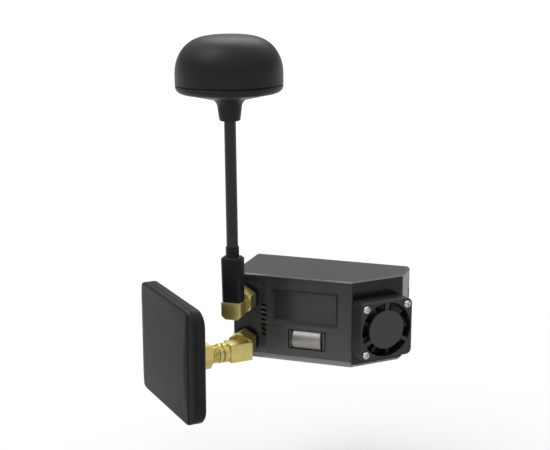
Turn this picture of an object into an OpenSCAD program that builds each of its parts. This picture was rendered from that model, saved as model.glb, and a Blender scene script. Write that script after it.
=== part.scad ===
// Plug-in video receiver module: smoked case, display, press roller, fan, two antennas.
// Millimetres, +Z up. The origin is the centre of the rear face, and the display looks along -Y.
// Case pieces are drawn from the case's front left bottom corner, and in_case() moves them in place.

/* [Case] */
// Overall width of the case
case_w = 57.3; // [55:0.1:66]
// Depth from the front face to the rear face
case_d = 26.4; // [26:0.1:34]
// Height of the case
case_h = 30.8; // [30.3:0.1:36]
// Thickness of the case walls
wall = 1.6; // [1.3:0.1:2]
// Radius of the upright corners
corner_r = 1.5; // [1.4:0.1:2.4]
// Bevel along the top edges
top_bevel = 0.5; // [0.3:0.1:1]
// Bevel along the bottom edges
bottom_bevel = 1.3; // [0.5:0.1:1.4]
// Thickness of the rear cover's plate
cover_t = 1.4; // [1.2:0.1:2]
// Depth of the rear cover's lip inside the case
lip_d = 2.8; // [2.4:0.1:3.4]
// Thickness of the rear cover's lip
lip_t = 1.2; // [0.8:0.1:1.6]
// Height of a latch window in the side walls
latch_h = 3.8; // [3:0.1:5]
// Width of a latch window along the depth
latch_w = 1.3; // [1:0.1:1.6]
// Height of the upper and lower latch centres
latch_z = [9.6, 21.9]; // [6.7:0.1:24.7]

/* [Jack bay] */
// Width of the bay where the antenna jacks sit
bay_w = 12.4; // [11.8:0.1:13]
// Depth of the bay below the front face
bay_depth = 1.2; // [0.8:0.1:1.4]
// Width of the bay's sloping side
bay_slope = 2.2; // [1.6:0.1:2.6]
// Height of the lip left above the bay
bay_lip = 1.5; // [1:0.1:2]
// Radius of the bay's upper corner
bay_round = 3.4; // [2:0.1:4]
// Number of air slots in the sloping side
vent_count = 7; // [4:1:8]
// Spacing of the air slots
vent_pitch = 1.75; // [1.4:0.05:2]
// Height of one air slot
vent_h = 0.9; // [0.6:0.05:1.1]
// Height of the middle air slot
vent_z = 14.3; // [12.7:0.1:15.7]

/* [Coaxial connectors] */
// Distance of both jacks from the case's left side
jack_x = 5.1; // [4.9:0.1:5.3]
// Height of the upper jack
jack_z = 22; // [21.2:0.1:22.7]
// Height of the lower jack
low_z = 6.4; // [6.3:0.1:6.9]
// Outer diameter of the jack thread
thread_d = 6.3; // [6.1:0.05:6.4]
// Size of the nuts across their flats
nut_af = 8; // [7.8:0.1:8.2]
// Length of a coupling nut
nut_len = 5.7; // [5.2:0.1:6.2]
// Thickness of a jack's panel nut
panel_nut_t = 1.8; // [1.4:0.1:2.2]
// Thickness of a jack's washer
washer_t = 0.4; // [0.3:0.1:0.6]
// Diameter of a plug's neck
neck_d = 5; // [4.8:0.1:5.2]
// Length from a jack's mouth back to the plug's block
neck_l = 5.1; // [4.6:0.1:6]

/* [Display] */
// Distance from the bay to the visible glass
display_left = 2.6; // [2.3:0.1:3]
// Distance from the visible glass to the cut corner
display_right = 6.05; // [5.8:0.05:8]
// Height of the window's centre
display_z = 19.85; // [19.7:0.05:20.1]
// Height of the visible glass
display_h = 10.3; // [9:0.1:10.5]
// Slope of the window's edges
window_bevel = 1.1; // [0.6:0.1:1.3]
// Thickness of the display glass
glass_t = 1.4; // [1.2:0.1:1.8]

/* [Roller] */
// How far the roller's centre lies to the right of the window's
roller_shift = 1.15; // [0.6:0.05:1.5]
// Height of the roller's axis
roller_z = 8.5; // [8.3:0.1:8.7]
// Diameter of the roller
roller_d = 7.6; // [7:0.1:7.8]
// Length of the roller
roller_l = 10.3; // [9:0.1:10.6]
// How far the roller stands out of the front face
roller_out = 1.4; // [1:0.1:1.8]
// Travel of the roller when it is pressed
press = 0.4; // [0.2:0.05:0.5]
// Diameter of the roller's axle
axle_d = 2; // [1.6:0.1:2.2]

/* [Fan] */
// Side of the square fan frame, which is also the length of the cut corner
fan_size = 20; // [20:0.1:21]
// Thickness of the fan
fan_t = 6.2; // [5.8:0.1:7]
// Diameter of the fan's bore
fan_bore = 19; // [18.6:0.1:19.2]
// Spacing of the fan's screw holes
fan_pitch = 16; // [15.8:0.1:16.4]
// Height of the fan's centre
fan_z = 14.5; // [14.1:0.1:15.1]
// Diameter of the rotor's hub
hub_d = 12.6; // [12:0.1:13]
// Diameter of the fixed plate in front of the hub
plate_d = 13.5; // [13:0.1:14]
// Number of blades
blade_count = 9; // [5:1:11]
// Diameter of the fan's shaft
shaft_d = 1.2; // [1:0.1:1.4]
// Diameter of a fan screw's head
screw_head_d = 2.6; // [2.4:0.1:3]

/* [Boards] */
// Thickness of the front board and the radio board
board_t = 1.2; // [0.8:0.1:1.4]
// Thickness of the main board
main_t = 1.6; // [1.2:0.1:2]
// Height of the standoffs behind the main board
standoff_h = 4.4; // [4:0.1:5]
// Number of contacts in one rear socket
pin_count = 8; // [5:1:9]
// Spacing of the rear contacts
pin_pitch = 2.54; // [2:0.01:2.54]
// Distance between the two rear sockets
socket_gap = 24; // [16:0.5:28]

/* [Omni antenna] */
// Width of the plug's block
block_w = 7; // [6.6:0.1:7.4]
// Depth of the plug's block
block_depth = 5.4; // [5:0.1:6]
// Height of the boot
boot_h = 15; // [12:0.5:18]
// Diameter of the stem
stem_d = 3.9; // [3.6:0.1:4.2]
// Length of the stem between block and radome
stem_l = 61.4; // [40:0.1:80]
// Diameter of the radome
dome_d = 35.3; // [32:0.1:38]
// Height of the radome's upper half
dome_h = 16; // [15.5:0.1:20]
// Height of the radome's base with its neck
base_h = 11.9; // [11:0.1:14]
// Thickness of the radome's wall
dome_wall = 1.2; // [1:0.1:1.6]
// Lean of the stem to the right, in degrees
omni_lean = -0.65; // [-20:0.05:20]

/* [Angle adapter] */
// Side of the adapter's square bar
bar = 6.4; // [6.2:0.1:6.8]
// Length from the bend to the outlet's mouth
outlet_l = 13; // [12.4:0.1:15]

/* [Patch antenna] */
// Width of the patch antenna
patch_w = 46.4; // [44:0.1:50]
// Height of the patch antenna
patch_h = 38.5; // [37:0.1:42]
// Thickness of the patch antenna
patch_t = 6; // [5.8:0.1:8]
// Thickness of its back shell
patch_back_t = 3.5; // [3:0.1:3.8]
// Radius of its corners
patch_r = 5.6; // [4.8:0.1:8]
// Width of the slope down each side of its front
patch_slope_w = 5.1; // [2:0.1:5.4]
// Depth of the slope down each side of its front
patch_slope_t = 1.5; // [1.2:0.1:1.8]
// How far the middle of its front stands above the upper and lower edges
patch_bow = 0.55; // [0.3:0.05:1]
// How far its centre lies above the plug
patch_rise = 3.7; // [0:0.1:5]
// Length from the outlet's mouth to the back of the patch antenna
patch_neck = 7.05; // [6.6:0.05:10]

/* [Hidden] */
$fn = 48;

// Clearances
fit = 0.15;
run = 0.05;
thread_run = 0.1;
slack = 0.3;
eps = 0.01;

// Colours
smoke = [0.24, 0.24, 0.25, 0.85];
black = [0.09, 0.09, 0.1];
gold = [0.83, 0.66, 0.32];
steel = [0.72, 0.73, 0.74];
silver = [0.55, 0.54, 0.52];
ptfe = [0.93, 0.93, 0.9];
copper = [0.75, 0.45, 0.27];
laminate = [0.1, 0.3, 0.18];

// Case values
fan_cut = fan_size * sqrt(0.5);
face_w = case_w - fan_cut;
seam_d = case_d - cover_t;
miter = tan(22.5);
latch_rim = 0.7;
latch_skin = 0.6;
latch_d = seam_d - latch_rim - latch_w;

// Connector values, along the mating axis from the jack's mouth
mate_gap = 0.1;
shoulder_d = 5.8;
shoulder_t = 1.1;
nut_lip = 0.8;
nut_back = 2 * mate_gap + shoulder_t + nut_lip;
nut_grip = nut_len - nut_back;
mouth_bore = 4.6;
mouth_depth = 2.2;
ferrule_l = mouth_depth - 2 * mate_gap;
dielectric_d = 4.1;
contact_d = 1.3;
pin_d = 0.9;
pin_over = 2.2;
pin_reach = mouth_depth + pin_over;
socket_depth = 2.6;
plug_bore = 3;
flange_w = 2 * (jack_x - wall - fit);
flange_t = 1.5;
contact_tail = 2.5;
leg_w = 0.9;
leg_l = 3;
jack_len = washer_t + panel_nut_t + slack + nut_grip;
jack_in = jack_len + wall;
mouth_d = bay_depth - jack_len;
washer_over = 1.2;
washer_d = nut_af + washer_over;

// Boards
front_board_d = wall + glass_t;
board_edge = 2.2;
board_foot = 1.6;
board_head = 0.6;
board_left = bay_w + slack;
board_right = face_w - board_edge;
board_low = wall + board_foot;
board_top = case_h - wall - board_head;
post_d = 2.6;
post_in = 1.5;
small_screw_d = 1.4;
small_head_d = 2.2;
small_head_t = 0.8;
small_cross = [1.2, 0.3, 0.35];
small_screw_l = 1.2;
screw_end = 0.5;
post_x = [board_left + post_in, board_right - post_in];
post_z = [board_low + post_in, board_top - post_in];
main_d = seam_d - standoff_h - main_t;
main_gap = 0.5;
standoff_d = 4;
standoff_in = 5;
main_post_x = [standoff_in + wall, case_w - wall - standoff_in];
main_post_z = [standoff_in + wall, case_h - wall - standoff_in];
socket_w = 2.5;
socket_floor = 1;
socket_l = pin_count * pin_pitch;
socket_x = [case_w / 2 - socket_gap / 2, case_w / 2 + socket_gap / 2];
rf_face = jack_x - contact_d / 2 - run;
can_h = 7.2;
can_t = 2.4;
can_l = 9.4;
can_end = 1;
ribbon_w = 7;
ribbon_t = 0.3;
ribbon_in = 6.95;
ribbon_x = board_right - ribbon_in;
ribbon_z = 21.7;
ribbon_side = 1;
ribbon_socket_t = 2;
ribbon_socket_h = 1.8;
chip_at = [-8.65, 15.35];
chip_z = [14.7, 15.7];
chip_w = [9, 6];
chip_t = [1.2, 1];

// Display
display_w = face_w - bay_w - display_left - display_right;
display_x = bay_w + display_left + display_w / 2;
glass_margin = 0.5;
glass_foot = 1.4;

// Roller
roller_x = display_x + roller_shift;
roller_gap = 0.35;
arm_t = 0.9;
arm_h = 6.2;
arm_recess = 0.1;
axis_d = roller_d / 2 - roller_out;
arm_in = roller_l / 2 + roller_gap;
arm_out = arm_in + arm_t;
slot_gap = 0.35;
slot_w = 2 * (arm_out + slot_gap);
slot_h = roller_d + 2 * slot_gap;
yoke_t = 0.8;
yoke_gap = 0.6;
yoke_d = axis_d + roller_d / 2 + yoke_gap;
arm_front = axis_d - arm_recess;
base_t = 1.2;
base_wall = 1;
rail_h = slot_h + 2 * base_wall;
base_front = front_board_d + board_t;
switch_w = 3.6;
switch_t = 1.4;
switch_gap = 0.6;
switch_d = yoke_d + yoke_t + switch_gap;
plunger_d = 1.4;
plunger_hole = plunger_d + 2 * slack;
plunger_l = 1;
plunger_hole_l = plunger_l + press - slack;
base_back = switch_d + switch_t;
notch_w = slot_w;
notch_over = 0.2;
notch_top = roller_z + slot_h / 2 + notch_over;

// Fan, along its axis from the cut corner's face
fan_plate_t = 1;
strut_w = 1.4;
strut_t = 0.8;
strut_root = 0.5;
strut_at = [90, 210, 330];
tube_d = 3.6;
bearing_d = 2.4;
hub_low = 0.6;
hub_skin = 0.7;
hub_gap = 0.5;
hub_top = fan_t - fan_plate_t - hub_gap;
magnet_t = 0.8;
stator_gap = 0.4;
stator_slot = [1.4, 1];
tube_low = hub_low + hub_skin + stator_gap;
stator_d = hub_d - 2 * (hub_skin + magnet_t + stator_gap);
tip_gap = 0.4;
blade_t = 0.6;
blade_twist = 42;
fan_hole_d = 1.9;
fan_screw_d = 1.6;
fan_head_t = 0.8;
fan_cross = [1.5, 0.4, 0.4];
fan_boss_d = 3.4;
fan_boss_l = 1.2;
duct_step = 1;
fan_duct = fan_bore - duct_step;
fan_corner_r = 2;
fan_screw_at = [[-1, -1], [-1, 1], [1, 1]];

// Omni antenna, heights from the upper jack's axis
omni_d = mouth_d - neck_l - block_depth / 2;
block_above = 2.3;
block_below = 3.7;
block_cut = 1.3;
boot_w = block_w + 0.2;
boot_depth = block_depth + 0.1;
boot_cut = 1;
boot_flare = 0.3;
boot_cap = 0.7;
collar_l = 3.3;
collar_wall = 0.3;
stem_bore = plug_bore;
neck_z = block_above + stem_l;
seam_z = neck_z + base_h;
base_neck_r = 3.5;
base_neck_top = 4;
base_neck_h = 4.3;
base_flare = 3;
lip_r = 2.45;
lip_h = 2.7;
base_floor = base_h - 1;
spigot_h = 1.1;
lobe_z = 6;
lobe_r = 12;
lobe_arc = 100;
lobe_tilt = 35;
lobe_wire = 0.9;
lobe_hub_d = 3.6;
lobe_hub_h = 3;
stem_top = seam_z + lobe_z - lobe_hub_h / 2;

// Angle adapter, along the outlet from the bend
bend_in = 2.5;
bend_d = mouth_d - neck_l - bend_in;
bar_back = 5.6;
bar_front = 2.6;
bar_cut = 0.4;
bead_d = 6.7;
bead_t = [2.1, 1.3];
groove_d = 5.6;
groove_t = 0.4;
bead_s = [bar_front, bar_front + bead_t[0] + groove_t];
thread_s = bead_s[1] + bead_t[1];

// Patch antenna, along the outlet from the bend
patch_back_s = outlet_l + patch_neck;
patch_front_s = patch_back_s + patch_t;
patch_split_s = patch_back_s + patch_back_t;
patch_skin = 1.2;
slope_rise = patch_slope_t / patch_slope_w;
bow_r = (pow(patch_h / 2, 2) + pow(patch_bow, 2)) / (2 * patch_bow);
patch_wall = patch_skin + patch_slope_w / 2;
patch_back_bevel = 0.8;
patch_boss_l = 2.6;
patch_boss_d = [8.4, 12];
ground_t = 0.8;
ground_gap = 0.4;
element_w = 22;
element_t = 0.5;
element_gap = 0.3;
spacer_d = 2.4;
spacer_at = 8;
element_drop = pow(element_w / 2, 2) / (2 * bow_r);
element_s = patch_front_s - patch_skin - element_gap - element_drop - element_t;
ground_s = patch_back_s + patch_skin;
plug_back = patch_neck + patch_skin;

// Frames

module in_case() translate([-case_w / 2, -case_d, -case_h / 2]) children();

// Mating frame of a case jack: origin in its mouth, +Z into the jack
module at_jack(z) in_case() translate([jack_x, mouth_d, z]) rotate([-90, 0, 0]) children();

// Adapter frame: origin at the bend, +X along the outlet
module at_bend() in_case() translate([jack_x, bend_d, low_z]) rotate([0, 0, 225]) children();

// Mating frame of the outlet: origin in its mouth, +Z back towards the bend
module at_outlet() at_bend() translate([outlet_l, 0, 0]) rotate([0, -90, 0]) children();

// Fan frame: origin at the middle of the cut corner's face, +Z outwards, +Y up
module at_fan() in_case() translate([face_w + fan_cut / 2, fan_cut / 2, fan_z]) rotate([90, 0, 45]) children();

// Omni frame: origin where the stem's axis meets the upper jack's axis
module at_omni() in_case() translate([jack_x, omni_d, jack_z]) rotate([0, omni_lean, 0]) children();

// Turns a shape drawn along +Z so that it runs from front to rear
module rearward() rotate([-90, 0, 0]) children();

// Case

// Corners of the case's plan, drawn in by r, from the front left corner round
function plan(r) = [
    [r, r], [face_w - r * miter, r], [case_w - r, fan_cut + r * miter],
    [case_w - r, case_d - r], [r, case_d - r]
];

module corner_post() {
    cylinder(h = bottom_bevel, r1 = corner_r - bottom_bevel, r2 = corner_r, $fn = 32);
    translate([0, 0, bottom_bevel])
        cylinder(h = case_h - bottom_bevel - top_bevel, r = corner_r, $fn = 32);
    translate([0, 0, case_h - top_bevel])
        cylinder(h = top_bevel, r1 = corner_r, r2 = corner_r - top_bevel, $fn = 32);
}

module case_block() hull() for (p = plan(corner_r)) translate(p) corner_post();

module cavity() {
    p = plan(wall);
    translate([0, 0, wall]) linear_extrude(case_h - 2 * wall)
        polygon([p[0], p[1], p[2], [p[3].x, case_d + wall], [p[4].x, case_d + wall]]);
}

// The bay's cut: a shallow step with a sloping right side and a round upper corner
module bay_cut() {
    run_out = bay_slope / bay_depth;
    top = case_h - bay_lip;
    intersection() {
        translate([0, 0, -wall]) linear_extrude(top + wall)
            polygon([[-1, -1], [bay_w + run_out, -1], [bay_w - bay_slope, bay_depth], [-1, bay_depth]]);
        translate([0, -wall, 0]) rearward() mirror([0, 1, 0]) linear_extrude(bay_depth + 2 * wall) {
            translate([-2, -2 * wall]) square([bay_w + 2 - bay_round, top + 2 * wall]);
            translate([-2, -2 * wall]) square([bay_w + 2, top + 2 * wall - bay_round]);
            translate([bay_w - bay_round, top - bay_round]) circle(bay_round);
        }
    }
}

// The wall behind the bay
module bay_back() translate([0, 0, wall / 2]) linear_extrude(case_h - wall)
    polygon([
        [wall / 2, wall / 2], [bay_w + eps, wall / 2], [bay_w + eps, wall],
        [bay_w - bay_slope, bay_depth + wall], [wall / 2, bay_depth + wall]
    ]);

module window_cut() translate([display_x, 0, display_z]) hull() {
    translate([-display_w / 2, wall, -display_h / 2]) cube([display_w, eps, display_h]);
    translate([-display_w / 2 - window_bevel, -eps, -display_h / 2 - window_bevel])
        cube([display_w + 2 * window_bevel, eps, display_h + 2 * window_bevel]);
}

module vents() for (i = [0 : vent_count - 1])
    translate([bay_w - bay_slope, -1, vent_z + (i - (vent_count - 1) / 2) * vent_pitch - vent_h / 2])
        cube([bay_slope, bay_depth + 2 * wall + 1, vent_h]);

module latch_windows(grow) for (side = [0, 1], z = latch_z)
    translate([side * (case_w - wall) - eps, latch_d + grow, z - latch_h / 2 + grow])
        cube([wall + 2 * eps, latch_w - 2 * grow, latch_h - 2 * grow]);

module fan_corners() for (p = fan_screw_at)
    translate([p.x * fan_pitch / 2, p.y * fan_pitch / 2, 0]) children();

module front_posts() for (x = post_x, z = post_z) translate([x, 0, z]) rearward() children();

module front_housing() color(smoke) difference() {
    union() {
        in_case() difference() {
            case_block();
            cavity();
        }
        in_case() bay_back();
        in_case() front_posts() translate([0, 0, wall / 2])
            cylinder(d = post_d, h = front_board_d - wall / 2);
        at_fan() fan_corners() translate([0, 0, -wall - fan_boss_l])
            cylinder(d = fan_boss_d, h = fan_boss_l + wall / 2);
    }
    in_case() {
        translate([-1, seam_d, -1]) cube([case_w + 2, cover_t + 1, case_h + 2]);
        bay_cut();
        window_cut();
        vents();
        latch_windows(0);
        for (z = [low_z, jack_z]) translate([jack_x, 0, z]) rearward()
            cylinder(d = thread_d + 2 * fit, h = bay_depth + 2 * wall);
        translate([roller_x, axis_d, roller_z]) along_x(slot_w) cylinder(d = slot_h, h = slot_w);
        front_posts() translate([0, 0, front_board_d - small_screw_l - fit])
            cylinder(d = small_screw_d, h = small_screw_l + wall);
    }
    at_fan() {
        translate([0, 0, -wall - 1]) cylinder(d = fan_duct, h = wall + 2);
        fan_corners() translate([0, 0, -wall - fan_boss_l - 1])
            cylinder(d = fan_screw_d, h = fan_boss_l + wall + 2);
    }
}

module lip_block(inset, depth) translate([wall + inset, seam_d - depth, wall + inset])
    cube([case_w - 2 * (wall + inset), depth + eps, case_h - 2 * (wall + inset)]);

module standoffs() for (x = main_post_x, z = main_post_z) translate([x, main_d, z]) rearward() children();

module rear_cover() color(smoke) in_case() difference() {
    union() {
        intersection() {
            case_block();
            translate([-1, seam_d, -1]) cube([case_w + 2, cover_t + 1, case_h + 2]);
        }
        difference() {
            lip_block(fit, lip_d);
            lip_block(fit + lip_t, lip_d + 1);
        }
        intersection() {
            latch_windows(fit);
            lip_block(latch_skin - wall, lip_d);
        }
        latch_arms();
        standoffs() translate([0, 0, main_t]) cylinder(d = standoff_d, h = standoff_h + eps);
    }
    for (x = socket_x) translate([x - socket_w / 2 - fit, seam_d - 1, case_h / 2 - socket_l / 2 - fit])
        cube([socket_w + 2 * fit, cover_t + 2, socket_l + 2 * fit]);
    standoffs() cylinder(d = small_screw_d, h = main_t + standoff_h - 1);
}

// Roots that tie the latch noses to the lip
module latch_arms() for (x = [wall - fit, case_w - 2 * wall - fit], z = latch_z)
    translate([x, latch_d + fit, z - latch_h / 2 + fit])
        cube([wall + 2 * fit, latch_w - 2 * fit, latch_h - 2 * fit]);

// Display and roller

module front_board() color(laminate) in_case() difference() {
    translate([board_left, front_board_d, board_low])
        cube([board_right - board_left, board_t, board_top - board_low]);
    translate([roller_x - notch_w / 2, front_board_d - 1, board_low - 1])
        cube([notch_w, board_t + 2, notch_top - board_low + 1]);
    front_posts() translate([0, 0, front_board_d - 1]) cylinder(d = small_screw_d + fit, h = board_t + 2);
}

module display_panel() color([0.16, 0.17, 0.19]) in_case()
    translate([display_x - display_w / 2 - glass_foot, wall, display_z - display_h / 2 - glass_foot])
        cube([display_w + 2 * glass_foot, glass_t, display_h + glass_foot + glass_margin]);

// Cross recess for a screwdriver, size [length, width, depth], in a head's top
module cross_recess(top, size) for (a = [0, 90]) rotate(a)
    translate([-size.x / 2, -size.y / 2, top - size.z]) cube([size.x, size.y, size.z + 1]);

// A small pan head screw that points along -Z from the face it clamps
module small_screw(length) {
    difference() {
        cylinder(d = small_head_d, h = small_head_t);
        cross_recess(small_head_t, small_cross);
    }
    translate([0, 0, -length]) cylinder(d = small_screw_d, h = length);
}

module front_board_screws() color(steel) in_case()
    front_posts() translate([0, 0, front_board_d + board_t]) small_screw(board_t + small_screw_l);

// Roller frame: origin on the roller's axis, seen as the case is
module at_roller() in_case() translate([roller_x, axis_d, roller_z]) children();

module along_x(length) translate([-length / 2, 0, 0]) rotate([0, 90, 0]) children();

module roller() {
    rim = 0.4;
    color(silver) at_roller() along_x(roller_l) rotate_extrude() polygon([
        [axle_d / 2 + run, 0], [roller_d / 2 - rim, 0], [roller_d / 2, rim],
        [roller_d / 2, roller_l - rim], [roller_d / 2 - rim, roller_l], [axle_d / 2 + run, roller_l]
    ]);
}

module roller_axle() color(steel) at_roller() along_x(2 * arm_out) cylinder(d = axle_d, h = 2 * arm_out);

module roller_yoke() color(smoke) at_roller() difference() {
    union() {
        for (side = [0, 1]) mirror([side, 0, 0]) translate([arm_in, -arm_front, -arm_h / 2])
            cube([arm_t, yoke_d - axis_d + yoke_t + arm_front, arm_h]);
        translate([-arm_out, yoke_d - axis_d, -arm_h / 2]) cube([2 * arm_out, yoke_t, arm_h]);
    }
    along_x(2 * arm_out + 2) cylinder(d = axle_d, h = 2 * arm_out + 2);
}

module switch_plunger() color(ptfe) at_roller()
    translate([0, yoke_d + yoke_t - axis_d, 0]) rearward() cylinder(d = plunger_d, h = plunger_l);

module roller_switch() color(steel) at_roller() translate([0, switch_d - axis_d, 0]) difference() {
    translate([-switch_w / 2, 0, -switch_w / 2]) cube([switch_w, switch_t, switch_w]);
    translate([0, -1, 0]) rearward() cylinder(d = plunger_hole, h = 1 + plunger_hole_l);
}

module roller_base() color(black) at_roller() {
    inner = arm_out + slack;
    outer = notch_w / 2 + base_t;
    difference() {
        translate([-outer, base_front - axis_d, -rail_h / 2])
            cube([2 * outer, base_back - base_front + base_wall, rail_h]);
        translate([-inner, base_front - axis_d - 1, -arm_h / 2 - slack])
            cube([2 * inner, base_back - base_front + 1, arm_h + 2 * slack]);
        translate([-roller_l / 2 - roller_gap, base_front - axis_d - 1, -roller_d / 2 - slot_gap])
            cube([roller_l + 2 * roller_gap, yoke_d - base_front + 1, roller_d + 2 * slot_gap]);
    }
}

// Fan

module rounded_square(side, r) {
    square([side, side - 2 * r], center = true);
    square([side - 2 * r, side], center = true);
    for (x = [-1, 1], y = [-1, 1]) translate([x, y] * (side / 2 - r)) circle(r);
}

module fan_frame() color(black) at_fan() {
    difference() {
        linear_extrude(fan_t) rounded_square(fan_size, fan_corner_r);
        translate([0, 0, -1]) cylinder(d = fan_bore, h = fan_t + 2);
        fan_corners() translate([0, 0, -1]) cylinder(d = fan_hole_d, h = fan_t + 2);
    }
    difference() {
        union() {
            translate([0, 0, fan_t - fan_plate_t]) cylinder(d = plate_d, h = fan_plate_t);
            translate([0, 0, tube_low]) cylinder(d = tube_d, h = fan_t - tube_low);
            for (a = strut_at) rotate(a) translate([plate_d / 2 - strut_root, -strut_w / 2, fan_t - strut_t])
                cube([(fan_bore - plate_d) / 2 + 2 * strut_root, strut_w, strut_t]);
        }
        translate([0, 0, tube_low - 1]) cylinder(d = bearing_d, h = fan_t - fan_plate_t - tube_low + 1);
    }
}

module fan_bearing() color(copper) at_fan() translate([0, 0, tube_low]) difference() {
    cylinder(d = bearing_d, h = fan_t - fan_plate_t - tube_low);
    translate([0, 0, -1]) cylinder(d = shaft_d + 2 * run, h = fan_t);
}

module fan_stator() color(copper) at_fan() translate([0, 0, tube_low + slack]) difference() {
    height = fan_t - fan_plate_t - tube_low - slack;
    cylinder(d = stator_d, h = height);
    translate([0, 0, -1]) cylinder(d = tube_d, h = height + 2);
    for (a = [45 : 90 : 315]) rotate(a) translate([stator_d / 2 - stator_slot.x, -stator_slot.y / 2, -1])
        cube([2 * stator_slot.x, stator_slot.y, height + 2]);
}

module fan_rotor() color(black) at_fan() {
    blade_r = hub_d / 2 - hub_skin / 2;
    translate([0, 0, hub_low]) difference() {
        cylinder(d = hub_d, h = hub_top - hub_low);
        translate([0, 0, hub_skin]) cylinder(d = hub_d - 2 * hub_skin, h = hub_top);
        translate([0, 0, -1]) cylinder(d = shaft_d, h = hub_top);
    }
    translate([0, 0, hub_low]) linear_extrude(hub_top - hub_low, twist = blade_twist, slices = 6, $fn = 12)
        for (i = [0 : blade_count - 1]) rotate(i * 360 / blade_count)
            translate([blade_r, -blade_t / 2]) square([fan_bore / 2 - tip_gap - blade_r, blade_t]);
}

module fan_magnet() color([0.2, 0.2, 0.21]) at_fan() translate([0, 0, hub_low + hub_skin]) difference() {
    height = hub_top - hub_low - hub_skin;
    cylinder(d = hub_d - 2 * hub_skin, h = height);
    translate([0, 0, -1]) cylinder(d = hub_d - 2 * hub_skin - 2 * magnet_t, h = height + 2);
}

module fan_shaft() color(steel) at_fan()
    translate([0, 0, hub_low]) cylinder(d = shaft_d, h = fan_t - fan_plate_t - slack - hub_low);

module fan_screws() color(steel) at_fan() fan_corners()
    translate([0, 0, fan_t]) {
        difference() {
            cylinder(d = screw_head_d, h = fan_head_t);
            rotate(45) cross_recess(fan_head_t, fan_cross);
        }
        translate([0, 0, -fan_t - wall - fan_boss_l]) cylinder(d = fan_screw_d, h = fan_t + wall + fan_boss_l);
    }

// Coaxial connectors, each drawn in its mating frame

module hex_block(length) intersection() {
    corner = nut_af / 2 / cos(30);
    bevel = (corner - nut_af / 2) * tan(30);
    rotate(30) cylinder(r = corner, h = length, $fn = 6);
    rotate_extrude() polygon([
        [0, 0], [nut_af / 2, 0], [corner, bevel], [corner, length - bevel], [nut_af / 2, length], [0, length]
    ]);
}

module coupling_nut() difference() {
    translate([0, 0, -nut_back]) hex_block(nut_len);
    translate([0, 0, -nut_back - 1]) cylinder(d = neck_d + 2 * run, h = nut_len + 2);
    translate([0, 0, -nut_back + nut_lip]) cylinder(d = thread_d + 2 * thread_run, h = nut_len);
}

// Barrel with its mouth at zero, up to length
module barrel(length) difference() {
    cylinder(d = thread_d, h = length);
    translate([0, 0, -1]) cylinder(d = mouth_bore, h = mouth_depth + 1);
    cylinder(d = dielectric_d, h = length + 1);
}

module plug_solid(length) {
    translate([0, 0, -length - eps]) cylinder(d = neck_d, h = length - mate_gap + eps);
    translate([0, 0, -mate_gap - shoulder_t]) cylinder(d = shoulder_d, h = shoulder_t);
    translate([0, 0, -mate_gap - eps]) cylinder(d = mouth_bore - 2 * run, h = ferrule_l + mate_gap + eps);
}

module contact_socket(length) difference() {
    translate([0, 0, mouth_depth]) cylinder(d = contact_d, h = length - mouth_depth);
    translate([0, 0, mouth_depth - 1]) cylinder(d = pin_d + 2 * run, h = socket_depth + 1);
}

module panel_jack(z) color(gold) at_jack(z) {
    barrel(jack_in + eps);
    difference() {
        translate([-flange_w / 2, -flange_w / 2, jack_in]) cube([flange_w, flange_w, flange_t]);
        translate([0, 0, jack_in - 1]) cylinder(d = dielectric_d, h = flange_t + 2);
    }
    for (x = [rf_face - jack_x, rf_face - jack_x - board_t - leg_w], y = [-1, 1])
        translate([x, y * (flange_w - leg_w) / 2 - leg_w / 2, jack_in + flange_t - eps])
            cube([leg_w, leg_w, leg_l + eps]);
}

module upper_jack() panel_jack(jack_z);

module lower_jack() panel_jack(low_z);

module each_jack() for (z = [low_z, jack_z]) at_jack(z) children();

module jack_insulators() color(ptfe) each_jack() difference() {
    translate([0, 0, mouth_depth]) cylinder(d = dielectric_d, h = jack_in + flange_t - mouth_depth);
    cylinder(d = contact_d, h = jack_in + flange_t + 1);
}

module jack_contacts() color(gold) each_jack() contact_socket(jack_in + flange_t + contact_tail);

module jack_washers() color(gold) each_jack() translate([0, 0, jack_len - washer_t]) difference() {
    cylinder(d = washer_d, h = washer_t);
    translate([0, 0, -1]) cylinder(d = thread_d + 2 * run, h = washer_t + 2);
}

module jack_nuts() color(gold) each_jack() translate([0, 0, jack_len - washer_t - panel_nut_t]) difference() {
    hex_block(panel_nut_t);
    translate([0, 0, -1]) cylinder(d = thread_d + 2 * run, h = panel_nut_t + 2);
}

// Boards behind the jacks and the rear cover

module rf_board() color(laminate) in_case() {
    low = wall + 2 * slack;
    front = bay_depth + wall + flange_t + fit;
    translate([rf_face - board_t, front, low]) cube([board_t, main_d - front, case_h - 2 * low]);
}

module receiver_cans() color(steel) in_case() for (z = [low_z, jack_z])
    translate([rf_face, main_d - can_end - can_l, z - can_h / 2]) cube([can_t, can_l, can_h]);

module main_board() color(laminate) in_case() difference() {
    inset = wall + main_gap;
    translate([inset, main_d, inset]) cube([case_w - 2 * inset, main_t, case_h - 2 * inset]);
    standoffs() translate([0, 0, -1]) cylinder(d = small_screw_d + fit, h = main_t + 2);
}

module main_board_screws() color(steel) in_case()
    standoffs() mirror([0, 0, 1]) small_screw(main_t + standoff_h - 1 - screw_end);

module pin_sockets() color(black) in_case()
    for (x = socket_x) translate([x, main_d + main_t, case_h / 2]) difference() {
        hole = 0.8;
        first = (1 - pin_count) / 2 * pin_pitch;
        translate([-socket_w / 2, 0, -socket_l / 2]) cube([socket_w, standoff_h + cover_t, socket_l]);
        for (i = [0 : pin_count - 1]) translate([-hole / 2, socket_floor, first + i * pin_pitch - hole / 2])
            cube([hole, standoff_h + cover_t, hole]);
    }

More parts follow.
